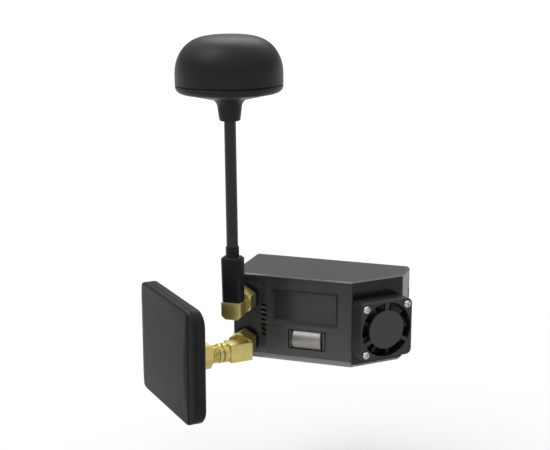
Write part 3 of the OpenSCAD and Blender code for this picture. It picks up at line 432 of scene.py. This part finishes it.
def arc(centre, radius, start, end, steps):
    """Points along an arc, in degrees from the outward direction."""
    angles = [math.radians(start + (end - start) * i / steps) for i in range(steps + 1)]
    return [(centre[0] + radius * math.cos(a), centre[1] + radius * math.sin(a)) for a in angles]


def settle(bm):
    """Merges doubled points and turns all faces outwards."""
    bmesh.ops.remove_doubles(bm, verts=bm.verts, dist=MERGE_BELOW)
    bmesh.ops.recalc_face_normals(bm, faces=bm.faces)


def round_edges(bm, width, segments=3, least=30, chosen=lambda point: True, clamp=True):
    """Rounds every edge that is sharper than the least angle and has both ends at chosen points."""
    settle(bm)
    sharp = [e for e in bm.edges if e.is_manifold and e.calc_face_angle() > math.radians(least)
             and all(chosen(v.co) for v in e.verts)]
    bmesh.ops.bevel(bm, geom=sharp, offset=width, segments=segments, profile=0.5, affect="EDGES",
                    material=-1, clamp_overlap=clamp)


def prism(bm, outline, length):
    """Fills a flat outline of (x, y) points and pulls it up along Z. Gives back the top face."""
    base = bm.faces.new([bm.verts.new((x, y, 0)) for x, y in outline])
    pulled = bmesh.ops.extrude_face_region(bm, geom=[base], use_keep_orig=True)["geom"]
    top = [v for v in pulled if isinstance(v, bmesh.types.BMVert)]
    bmesh.ops.translate(bm, vec=(0, 0, length), verts=top)
    return next(f for f in pulled if isinstance(f, bmesh.types.BMFace))


def finish_piece(name, bm, where, finish, body, slot, *nodes):
    """Turns a mesh in millimetres into a piece in place, riding on its body."""
    settle(bm)
    bm.transform(Matrix.Scale(MM, 4) @ where)
    mesh = bpy.data.meshes.new(name)
    bm.to_mesh(mesh)
    bm.free()
    mesh.materials.append(finish)
    mesh.shade_smooth()
    mesh.set_sharp_from_angle(angle=math.radians(SMOOTH_BELOW))
    piece = bpy.data.objects.new(name, mesh)
    scene.collection.objects.link(piece)
    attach(piece, body)
    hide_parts(*nodes)
    print(name, "has", len(mesh.polygons), "faces and stands for", ", ".join(nodes))


# %% [markdown]
# ## The omni antenna's radome
# A mushroom of two satin shells: a dome with an upright wall that bends over to a flat crown, and a base that
# flares out of a short neck. Both are turned forms, so an outline is spun round the stem. The dome's bend is
# an ellipse whose cosine is raised to a power below 1, which flattens the crown and fills its edge. A small
# groove between the shells makes the dark seam that the eye catches.

# %% Radome
DOME_R = 17.65
DOME_H = 16.0
DOME_WALL_H = 3.4
DOME_POWER = 0.6
SHELL = 1.2
SEAM_EDGE = 0.35
BASE_Z = 63.7
SEAM_Z = 75.6
BEND_STEPS = 28
RADOME_STEPS = 128


def dome_curve(radius, top):
    """Half the dome's outline, from the top of its wall to the middle of its crown."""
    bend = [math.radians(90 * i / BEND_STEPS) for i in range(BEND_STEPS)]
    return [(radius * math.cos(a) ** DOME_POWER, DOME_WALL_H + (top - DOME_WALL_H) * math.sin(a))
            for a in bend] + [(0.0, top)]


dome = bmesh.new()
outside = [(DOME_R - SEAM_EDGE, 0.0), (DOME_R, SEAM_EDGE)] + dome_curve(DOME_R, DOME_H)
inside = [(DOME_R - SHELL, 0.0)] + dome_curve(DOME_R - SHELL, DOME_H - SHELL)
lathe(dome, inside[::-1] + outside, RADOME_STEPS, closed=False)
finish_piece("radome_cap", dome, STEM @ place(0, 0, SEAM_Z), radome_finish,
             "omni", "black_plastic", "omni_dome")

# %% Radome base
NECK_R = 3.5
NECK_TOP_R = 4.0
NECK_H = 4.3
FLARE_R = 3.0
LIP_R = 2.45
LIP_H = 2.7
BASE_H = SEAM_Z - BASE_Z
STEM_R = 1.95
NECK_ROUND = 0.5
BASE_HOLLOW = 1.0
FLARE_STEPS = 12

quarter_turn = [math.radians(90 * i / FLARE_STEPS) for i in range(FLARE_STEPS + 1)]
flare = [(NECK_TOP_R + FLARE_R * (1 - math.cos(a)), NECK_H + FLARE_R * math.sin(a)) for a in quarter_turn]
lip = [(DOME_R - LIP_R * (1 - math.sin(a)), BASE_H - SEAM_EDGE - (LIP_H - SEAM_EDGE) * math.cos(a))
       for a in quarter_turn]
neck = arc((NECK_R - NECK_ROUND, NECK_ROUND), NECK_ROUND, -90, 0, 4)
hollow_r, hollow_z = DOME_R - 2 * SHELL, BASE_H - BASE_HOLLOW
skirt = bmesh.new()
lathe(skirt, [(STEM_R, 0.0)] + neck + flare + lip
      + [(DOME_R - SEAM_EDGE, BASE_H), (hollow_r, BASE_H), (hollow_r, hollow_z), (STEM_R, hollow_z)],
      RADOME_STEPS)
finish_piece("radome_base", skirt, STEM @ place(0, 0, BASE_Z), radome_finish,
             "omni", "black_plastic", "omni_base")

# %% [markdown]
# ## The boot
# The stem leaves the plug through a moulded boot: an eight-sided block that widens a little as it rises, closes
# with a sloping shoulder and ends in a short collar round the stem. An eight-sided face is pulled up, grown and
# drawn in, then its sharp edges are rounded. The collar is a turned ring set into the shoulder.

# %% Boot
BOOT_Z = 2.3
BOOT_H = 15.0
BOOT_CAP = 0.7
BOOT_W = 7.2
BOOT_D = 5.5
BOOT_CUT = 1.0
BOOT_FLARE = 0.3
BOOT_ROUND = 0.22
CAP_IN = 0.8
COLLAR_H = 3.3
COLLAR_R = 2.25
COLLAR_ROUND = 0.15


def cut_rectangle(width, depth, cut):
    """The outline of a rectangle with its four corners cut off."""
    x, y = width / 2, depth / 2
    return [(-x + cut, -y), (x - cut, -y), (x, -y + cut), (x, y - cut),
            (x - cut, y), (-x + cut, y), (-x, y - cut), (-x, -y + cut)]


boot = bmesh.new()
foot_w, foot_d = BOOT_W - BOOT_FLARE, BOOT_D - BOOT_FLARE
shoulder = prism(boot, cut_rectangle(foot_w, foot_d, BOOT_CUT), BOOT_H)
bmesh.ops.scale(boot, vec=(BOOT_W / foot_w, BOOT_D / foot_d, 1), verts=shoulder.verts)
bmesh.ops.inset_region(boot, faces=[shoulder], thickness=CAP_IN, depth=BOOT_CAP, use_even_offset=True)
round_edges(boot, BOOT_ROUND, least=20)
collar_top = BOOT_H + BOOT_CAP + COLLAR_H
collar_rim = arc((COLLAR_R - COLLAR_ROUND, collar_top - COLLAR_ROUND), COLLAR_ROUND, 0, 90, 4)
lathe(boot, [(STEM_R, BOOT_H), (COLLAR_R, BOOT_H)] + collar_rim + [(STEM_R, collar_top)], steps=40)
finish_piece("stem_boot", boot, STEM @ place(0, 0, BOOT_Z), boot_finish,
             "omni", "black_plastic", "omni_boot")

# %% [markdown]
# ## The upper plug
# A block of plated brass with two corners cut off its foot, and a turned plug that reaches into the jack. The
# block's outline is pulled to its depth and its edges broken, as a machinist breaks them with a file, so that
# each edge catches a line of light. The plug is a turned tube, mostly hidden by its nut.

# %% Upper plug
BLOCK_W = 7.0
BLOCK_D = 5.4
BLOCK_ABOVE = 2.3
BLOCK_BELOW = 3.7
BLOCK_CUT = 1.3
BROKEN_EDGE = 0.18
NECK_L = 5.1
PLUG_BORE_R = 1.5
PLUG_NECK_R = 2.5
SHOULDER_R = 2.9
SHOULDER_L = 1.1
FERRULE_R = 2.25
FERRULE_L = 2.0
MATE_GAP = 0.1
PLUG_STEPS = 48

# The plug along the jack's axis, from behind its nut to the tip of its ferrule. Both jacks take the same one.
shoulder_z = -MATE_GAP - SHOULDER_L
PLUG = [(PLUG_BORE_R, -NECK_L), (PLUG_NECK_R, -NECK_L), (PLUG_NECK_R, shoulder_z), (SHOULDER_R, shoulder_z),
        (SHOULDER_R, -MATE_GAP), (FERRULE_R, -MATE_GAP), (FERRULE_R, FERRULE_L), (PLUG_BORE_R, FERRULE_L)]

side, low, high = BLOCK_W / 2, -BLOCK_BELOW, BLOCK_ABOVE
block = bmesh.new()
prism(block, [(-side + BLOCK_CUT, low), (side - BLOCK_CUT, low), (side, low + BLOCK_CUT), (side, high),
              (-side, high), (-side, low + BLOCK_CUT)], BLOCK_D)
round_edges(block, BROKEN_EDGE, segments=2)
block.transform(UPPER_JACK.inverted() @ STEM @ place(0, BLOCK_D / 2, 0) @ turn(90, "X"))
lathe(block, PLUG, PLUG_STEPS)
finish_piece("upper_plug", block, UPPER_JACK, gold_finish, "omni", "gold", "omni_elbow")

# %% [markdown]
# ## The angle adapter
# A square bar of plated brass, sawn off square to the jack, with two turned beads and a thread at its outlet. A
# cube is stretched to the bar, cut by a plane at the jack's end, and has its edges broken. The thread is a real
# helix: a small ridge spun round the axis while it moves along by one pitch a turn.

# %% Angle adapter
BAR = 6.4
BAR_BACK = 5.6
BAR_FRONT = 2.6
BAR_EDGE = 0.35
OUTLET_SUNK = 0.5
BEAD_R = 3.35
BEAD_ROUND = 0.3
INNER_BEAD = (2.6, 4.7)
OUTER_BEAD = (5.1, 6.4)
GROOVE_R = 2.8
THREAD_R = 3.15
THREAD_PITCH = 0.706
THREAD_DEPTH = 0.32
THREAD_STEPS = 40
THREAD_RUN_OUT = 0.1
RIDGE_SUNK = 0.05
RIDGE_FLAT = 0.06
# The ridge's foot, both ends of its crest and its other foot, in shares of the pitch.
RIDGE_AT = (0.0, 0.3, 0.5, 0.8)
MOUTH_Z = 13.0
MOUTH_R = 2.3
MOUTH_DEPTH = 2.2
LINE_R = 2.05
CUT_Y = JACK_MOUTH_Y - NECK_L
CORE_R = THREAD_R - THREAD_DEPTH


def bead(start, end):
    """A turned bead with rounded shoulders."""
    inner = BEAD_R - BEAD_ROUND
    return (arc((inner, start + BEAD_ROUND), BEAD_ROUND, -90, 0, 4)
            + arc((inner, end - BEAD_ROUND), BEAD_ROUND, 0, 90, 4))


def add_thread(bm, start, end):
    """A helical ridge with a flat crest, its foot sunk a little into the thread's core."""
    turns = (end - start) / THREAD_PITCH - 1
    steps = round(turns * THREAD_STEPS)
    foot, crest = CORE_R - RIDGE_SUNK, THREAD_R - RIDGE_FLAT
    ridge = [bm.verts.new((radius, 0, start + share * THREAD_PITCH))
             for radius, share in zip((foot, crest, crest, foot), RIDGE_AT)]
    bmesh.ops.spin(bm, geom=[bm.faces.new(ridge)], axis=(0, 0, 1), cent=(0, 0, 0), angle=2 * math.pi * turns,
                   dvec=(0, 0, THREAD_PITCH * turns / steps), steps=steps)


bar = bmesh.new()
bmesh.ops.create_cube(bar, size=1)
bmesh.ops.scale(bar, vec=(BAR, BAR, BAR_BACK + BAR_FRONT), verts=bar.verts)
bmesh.ops.translate(bar, vec=(0, 0, (BAR_FRONT - BAR_BACK) / 2), verts=bar.verts)
to_outlet = OUTLET.inverted()
cut_at = to_outlet @ Vector((JACK_X, CUT_Y, LOWER_JACK_Z))
cut_normal = to_outlet.to_3x3() @ Vector((0, 1, 0))
cut = bmesh.ops.bisect_plane(bar, geom=bar.verts[:] + bar.edges[:] + bar.faces[:], plane_co=cut_at,
                             plane_no=cut_normal, clear_outer=True)
bmesh.ops.contextual_create(bar, geom=[e for e in cut["geom_cut"] if isinstance(e, bmesh.types.BMEdge)])
round_edges(bar, BAR_EDGE, segments=2)
outlet_z, step_z = BAR_FRONT - OUTLET_SUNK, MOUTH_Z - MOUTH_DEPTH
lathe(bar, [(LINE_R, outlet_z), (GROOVE_R, outlet_z), (GROOVE_R, INNER_BEAD[0])] + bead(*INNER_BEAD)
      + [(GROOVE_R, INNER_BEAD[1]), (GROOVE_R, OUTER_BEAD[0])] + bead(*OUTER_BEAD)
      + [(CORE_R, OUTER_BEAD[1]), (CORE_R, MOUTH_Z), (MOUTH_R, MOUTH_Z), (MOUTH_R, step_z), (LINE_R, step_z)],
      steps=56)
add_thread(bar, OUTER_BEAD[1] + THREAD_RUN_OUT, MOUTH_Z - THREAD_RUN_OUT)
bar.transform(LOWER_JACK.inverted() @ OUTLET)
lathe(bar, PLUG, PLUG_STEPS)
finish_piece("angle_adapter", bar, LOWER_JACK, gold_finish, "adapter", "gold", "adapter_body")

# %% [markdown]
# ## The patch antenna
# A flat box of two satin shells. The front one slopes down at both sides and its bare face is slightly bowed,
# the back one has a small bevel and a conical boss for the plug. The solids already have these forms with knife
# edges, so each shell is a merged copy of its solid with its edges rounded as a mould rounds them, most of all
# round the face. The two rims meet in a fine dark groove.

# %% Patch antenna shells
PATCH_SEAM_Z = 23.55
PATCH_RIM_H = 0.5
FACE_ROUND = 0.7
RIM_ROUND = 0.25
COPY_MERGE = 0.01
FLAT_BELOW = 1
rim_top = PATCH_SEAM_Z + PATCH_RIM_H


def merged_copy(node):
    """A solid's mesh in the outlet's frame, in millimetres, with doubled points and flat faces merged."""
    bm = bmesh.new()
    bm.from_mesh(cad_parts[node].data)
    bm.transform(OUTLET.inverted() @ Matrix.Scale(1 / MM, 4))
    bmesh.ops.remove_doubles(bm, verts=bm.verts, dist=COPY_MERGE)
    bmesh.ops.dissolve_limit(bm, angle_limit=math.radians(FLAT_BELOW), verts=bm.verts, edges=bm.edges)
    return bm


front = merged_copy("patch_front")
round_edges(front, FACE_ROUND, segments=4, least=12, chosen=lambda point: point.z > rim_top, clamp=False)
round_edges(front, RIM_ROUND, chosen=lambda point: point.z < rim_top)
finish_piece("patch_face", front, OUTLET, patch_finish, "patch", "black_plastic", "patch_front")
back = merged_copy("patch_back")
round_edges(back, RIM_ROUND, least=20)
finish_piece("patch_shell", back, OUTLET, patch_finish, "patch", "black_plastic", "patch_back")

# %% [markdown]
# ## Fan screws
# Three small pan heads with a cross recess hold the fan. Circles and a cross are bridged into a shank with a
# domed head, and the cross is pushed in for the driver. The head's shape matters because it is bright. Each
# screw stopped at its own angle.

# %% Fan screws
# Each screw's place on the fan's face, and the angle of its cross.
SCREWS = {(-8, -8): 20, (-8, 8): 55, (8, 8): 90}
HEAD_R = 1.3
HEAD_H = 0.8
HEAD_STEPS = 24
# The dome's circles, in shares of the head's radius and height.
HEAD_DOME = [(1.0, 0.0), (1.0, 0.25), (0.93, 0.6), (0.72, 0.9)]
SHANK_R = 0.8
SHANK_L = 9.0
CROSS_L = 0.78
CROSS_W = 0.2
CROSS_DEPTH = 0.45
CROSS_TAPER = 0.05


def ring(bm, radius, height):
    """The edges of a circle at this height."""
    made = bmesh.ops.create_circle(bm, segments=HEAD_STEPS, radius=radius)["verts"]
    bmesh.ops.translate(bm, vec=(0, 0, height), verts=made)
    return list({e for v in made for e in v.link_edges})


def cross_head_screw(bm, at, angle):
    """A pan head with a cross recess, on a plain shank."""
    head = bmesh.new()
    loops = [ring(head, SHANK_R, -SHANK_L), ring(head, SHANK_R, 0)]
    loops += [ring(head, across * HEAD_R, up * HEAD_H) for across, up in HEAD_DOME]
    a, b = CROSS_L, CROSS_W
    corners = [(a, -b), (a, b), (b, b), (b, a), (-b, a), (-b, b),
               (-a, b), (-a, -b), (-b, -b), (-b, -a), (b, -a), (b, -b)]
    recess = head.faces.new([head.verts.new((px, py, HEAD_H)) for px, py in corners])
    for lower, upper in zip(loops, loops[1:] + [list(recess.edges)]):
        bmesh.ops.bridge_loops(head, edges=lower + upper)
    bmesh.ops.inset_region(head, faces=[recess], thickness=CROSS_TAPER, depth=-CROSS_DEPTH)
    head.transform(place(*at, FAN_T) @ turn(angle, "Z"))
    mesh = bpy.data.meshes.new("screw")
    head.to_mesh(mesh)
    head.free()
    bm.from_mesh(mesh)
    bpy.data.meshes.remove(mesh)


screws = bmesh.new()
for at, angle in SCREWS.items():
    cross_head_screw(screws, at, angle)
finish_piece("fan_screw_set", screws, FAN, nickel_finish, "housing", "steel", "fan_screws")

# %% [markdown]
# ## The roller
# A turned aluminium drum on a steel axle, pressed and rolled by a thumb. Its outline is spun round the axle
# with a rounded rim at each end, and the axle stays a plain solid.

# %% Roller
ROLLER_AT = (-1.446, -24.0, -6.9)
ROLLER_R = 3.8
ROLLER_L = 10.3
ROLLER_BORE = 1.05
ROLLER_RIM = 0.45

half = ROLLER_L / 2
drum = bmesh.new()
rim_r = ROLLER_R - ROLLER_RIM
lathe(drum, [(ROLLER_BORE, -half)] + arc((rim_r, -half + ROLLER_RIM), ROLLER_RIM, -90, 0, 5)
      + arc((rim_r, half - ROLLER_RIM), ROLLER_RIM, 0, 90, 5) + [(ROLLER_BORE, half)], steps=96)
finish_piece("roller_drum", drum, place(*ROLLER_AT) @ turn(90, "Y"), roller_finish,
             "roller", "roller_metal", "roller")

# %% [markdown]
# ## Finishes for the solids that stay
# The remaining solids already have their real shape, so each only takes the finish of its material.

# %% Dress the solids
FINISHES = {
    case_finish: ["front_housing", "rear_cover", "roller_yoke"],
    fan_finish: ["fan_frame", "fan_rotor"],
    nylon_finish: ["roller_base", "pin_sockets", "logic_chips", "jack_washers"],
    dark_brass_finish: ["jack_nuts"],
    sleeve_finish: ["omni_stem"],
    ptfe_finish: ["jack_insulators", "omni_insulator", "adapter_insulator", "patch_insulator", "patch_spacers",
                  "switch_plunger", "ribbon_sockets"],
    gold_finish: ["upper_jack", "lower_jack", "jack_contacts", "omni_nut", "omni_pin", "adapter_nut",
                  "adapter_contact", "patch_nut", "patch_plug", "patch_pin"],
    nickel_finish: ["front_board_screws", "main_board_screws", "roller_axle", "fan_shaft", "roller_switch"],
    tin_finish: ["receiver_cans"],
    copper_finish: ["fan_stator", "omni_lobes", "patch_plate"],
    bronze_finish: ["fan_bearing"],
    board_finish: ["front_board", "main_board", "rf_board", "patch_ground"],
    glass_finish: ["display_panel"],
    cable_finish: ["ribbon"],
    ferrite_finish: ["fan_magnet"],
}
for finish, names in FINISHES.items():
    for name in names:
        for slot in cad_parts[name].material_slots:
            slot.material = finish
print("dressed", sum(len(names) for names in FINISHES.values()), "solids")

# %% [markdown]
# ## The studio
# The module is held by its rear face, so it hangs over a pale floor, as in a catalogue shot. A large soft box
# stands high at the front left and a weaker one high at the back. The sky darkens low down, because the case's
# top mirrors it there and has to stay dark, and ends in a white rim that carries on the floor. The paper floor
# glows a little for the camera and in reflections, more so far away, so that it reads as white while the part's
# own shadow stays on it.

# %% Studio
FLOOR_DROP = 0.04
FLOOR_SIZE = 12.0
# The floor's glow near the part and far from it, and the distances in metres between which it grows.
GLOW_NEAR, GLOW_FAR = 0.1, 0.5
GLOW_FROM, GLOW_TO = 0.5, 2.0
# Heights on the sky are sines of the elevation.
SKY_LOW, SKY_HIGH = 0.05, 0.7
SKY_STRENGTH = 1.25
RIM_HIGH = 0.18
scene.view_settings.view_transform = "Standard"


def seen_directly(tree):
    """1 for rays from the camera, off gloss or through glass, and 0 for fill light."""
    path = add(tree, "LightPath")
    glossy = add(tree, "Math", {0: path.outputs["Is Camera Ray"], 1: path.outputs["Is Glossy Ray"]},
                 operation="MAXIMUM")
    return add(tree, "Math", {0: glossy.outputs[0], 1: path.outputs["Is Transmission Ray"]},
               operation="MAXIMUM").outputs[0]


world = bpy.data.worlds.new("studio")
scene.world = world
world.use_nodes = True
sky = world.node_tree
height = add(sky, "SeparateXYZ", {"Vector": add(sky, "TexCoord").outputs["Generated"]}).outputs["Z"]
ceiling = add(sky, "MapRange", {"Value": height, "From Min": SKY_LOW, "From Max": SKY_HIGH,
                                "To Min": 0.0, "To Max": SKY_STRENGTH})
horizon = add(sky, "MapRange", {"Value": height, "From Min": SKY_LOW, "From Max": RIM_HIGH,
                                "To Min": 1.0, "To Max": 0.0})
strength = add(sky, "Math", {0: ceiling.outputs["Result"], 1: horizon.outputs["Result"]}, operation="MAXIMUM")
sky.nodes["Background"].inputs["Color"].default_value = (1, 1, 1, 1)
sky.links.new(strength.outputs[0], sky.nodes["Background"].inputs["Strength"])

floor_mesh = bpy.data.meshes.new("floor")
ground = bmesh.new()
bmesh.ops.create_grid(ground, x_segments=1, y_segments=1, size=FLOOR_SIZE / 2)
bmesh.ops.translate(ground, vec=(0, 0, cad_box[0].z - FLOOR_DROP), verts=ground.verts)
ground.to_mesh(floor_mesh)
ground.free()
floor = bpy.data.objects.new("floor", floor_mesh)
scene.collection.objects.link(floor)

paper, tree, shader, where = new_finish("white_paper", {"Roughness": 0.9, "Specular IOR Level": 0.0,
                                                        "Emission Color": (1, 1, 1, 1)})
mottle(tree, shader, where, width=40, dark="#c8c8c8", light="#c9c9c9")
distance = add(tree, "VectorMath", {0: where}, operation="LENGTH").outputs["Value"]
lift = add(tree, "MapRange", {"Value": distance, "From Min": GLOW_FROM, "From Max": GLOW_TO,
                              "To Min": GLOW_NEAR, "To Max": GLOW_FAR})
shown = add(tree, "Math", {0: lift.outputs["Result"], 1: seen_directly(tree)}, operation="MULTIPLY")
tree.links.new(shown.outputs[0], shader.inputs["Emission Strength"])
floor_mesh.materials.append(paper)


def soft_box(name, at, size, watts):
    """A square lamp that faces the part's origin."""
    light = bpy.data.lights.new(name, "AREA")
    light.shape = "SQUARE"
    light.size = size
    light.energy = watts
    lamp = bpy.data.objects.new(name, light)
    lamp.location = at
    lamp.rotation_euler = (-Vector(at)).to_track_quat("-Z", "Y").to_euler()
    scene.collection.objects.link(lamp)
    print(name, "at", at, "with radiance", round(watts / math.pi / size ** 2, 2))


soft_box("key_box", at=(-0.5, -0.45, 1.2), size=0.75, watts=7.0)
soft_box("back_box", at=(-0.2, 0.8, 1.05), size=0.8, watts=6.5)
